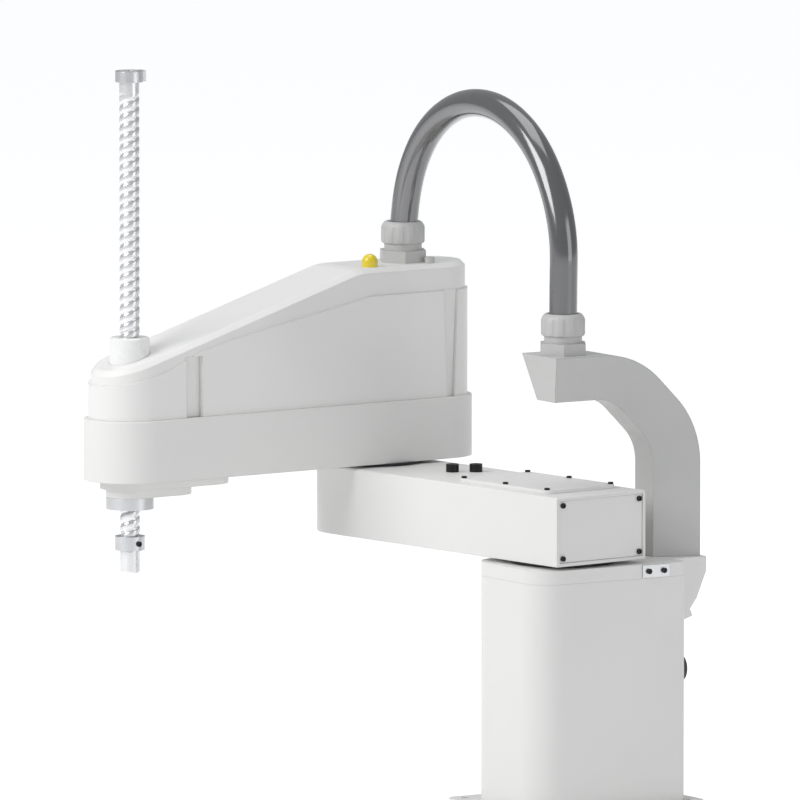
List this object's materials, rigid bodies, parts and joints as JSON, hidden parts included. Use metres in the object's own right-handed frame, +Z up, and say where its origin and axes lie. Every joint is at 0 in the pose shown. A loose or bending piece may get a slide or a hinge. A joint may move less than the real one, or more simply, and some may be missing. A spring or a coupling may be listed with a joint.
{
  "type": "scara robot",
  "caption": "Bench-mounted horizontal-arm assembly robot with a square column, two swinging arms, a vertical splined shaft and a looped cable conduit.",
  "frame": {"origin": "on the shoulder axis, at the underside of the foot", "axes": "+Z up along the shoulder axis, +X to the robot's front, away from the cable duct"},
  "size_m": [0.5278, 0.4327, 0.74],
  "materials": {
    "casting": "satin white paint",
    "duct": "satin grey paint",
    "cover": "smooth white moulding",
    "gland": "fine grain",
    "conduit": "glossy grey",
    "dark_metal": "black anodised",
    "steel": "ground",
    "screw": "black oxide",
    "shaft": "polished",
    "bare_metal": "machined",
    "belt": "matt",
    "lamp": "translucent yellow",
    "sleeve": "smooth pale grey",
    "black_plastic": "matt"
  },
  "bodies": {
    "root": {"base_casting": "casting", "top_plate": "casting", "rear_bracket": "casting", "cable_duct": "duct", "duct_gland_body": "gland", "duct_gland_nut": "gland", "rim_plate": "bare_metal", "rim_plate_screws": "screw", "shoulder_reducer": "steel", "shoulder_motor": "dark_metal", "connector_panel": "bare_metal", "power_connector": "black_plastic", "signal_connector": "black_plastic", "air_fittings": "bare_metal"},
    "upper_arm": {"upper_arm_casting": "casting", "end_cover": "casting", "end_cover_screws": "screw", "arm_lid": "casting", "lid_screws": "screw", "stop_bolts": "screw", "shoulder_output": "dark_metal", "elbow_reducer": "steel", "conduit": "conduit"},
    "forearm": {"forearm_pan": "casting", "forearm_cover": "cover", "vent_strips": "cover", "elbow_output": "dark_metal", "elbow_motor": "dark_metal", "turn_bracket": "bare_metal", "turn_motor": "dark_metal", "turn_belt": "belt", "lift_bracket": "bare_metal", "lift_motor": "dark_metal", "lift_belt": "belt", "nut_bracket": "bare_metal", "spline_bearing": "steel", "screw_bearing": "steel", "shaft_sleeve": "sleeve", "wrist_flange": "casting", "wrist_boss": "bare_metal", "arm_gland_body": "gland", "arm_gland_nut": "gland", "status_lamp": "lamp", "top_fitting": "gland"},
    "spline_drive": {"spline_nut": "steel", "spline_pulley": "bare_metal"},
    "screw_drive": {"screw_nut": "steel", "screw_pulley": "bare_metal"},
    "turn_pinion": {"turn_motor_pulley": "bare_metal"},
    "lift_pinion": {"lift_motor_pulley": "bare_metal"},
    "quill": {"shaft": "shaft", "top_clamp": "bare_metal", "lower_collar": "bare_metal", "collar_screw": "screw"}
  },
  "joints": [
    {"name": "shoulder", "type": "hinge", "parent": "root", "child": "upper_arm", "pos_m": [0, 0, 0.255], "axis": [0, 0, 1], "range_deg": [-49, 215]},
    {"name": "elbow", "type": "hinge", "parent": "upper_arm", "child": "forearm", "pos_m": [0.03656, -0.29776, 0.331], "axis": [0, 0, 1], "range_deg": [-225, 51], "deforming": ["conduit"]},
    {"name": "shaft_turn", "type": "hinge", "parent": "forearm", "child": "spline_drive", "pos_m": [0.33583, -0.27684, 0.346], "axis": [0, 0, 1], "range_deg": [-360, 360]},
    {"name": "shaft_lift", "type": "slide", "parent": "spline_drive", "child": "quill", "axis": [0, 0, 1], "range_m": [-0.228, 0.022]},
    {"name": "screw_nut_turn", "type": "hinge", "parent": "forearm", "child": "screw_drive", "pos_m": [0.33583, -0.27684, 0.374], "axis": [0, 0, 1], "range_deg": [-4114, 406]},
    {"name": "turn_motor_turn", "type": "hinge", "parent": "forearm", "child": "turn_pinion", "pos_m": [0.17622, -0.288, 0.346], "axis": [0, 0, 1], "range_deg": [-730, 730]},
    {"name": "lift_motor_turn", "type": "hinge", "parent": "forearm", "child": "lift_pinion", "pos_m": [0.25802, -0.28228, 0.374], "axis": [0, 0, 1], "range_deg": [-8228, 812]}
  ],
  "couplings": [
    {"joint": "turn_motor_turn", "follows": "shaft_turn", "ratio": 2},
    {"joint": "screw_nut_turn", "follows": "shaft_lift", "rad_per_m": 314.16},
    {"joint": "lift_motor_turn", "follows": "shaft_lift", "rad_per_m": 628.32}
  ]
}
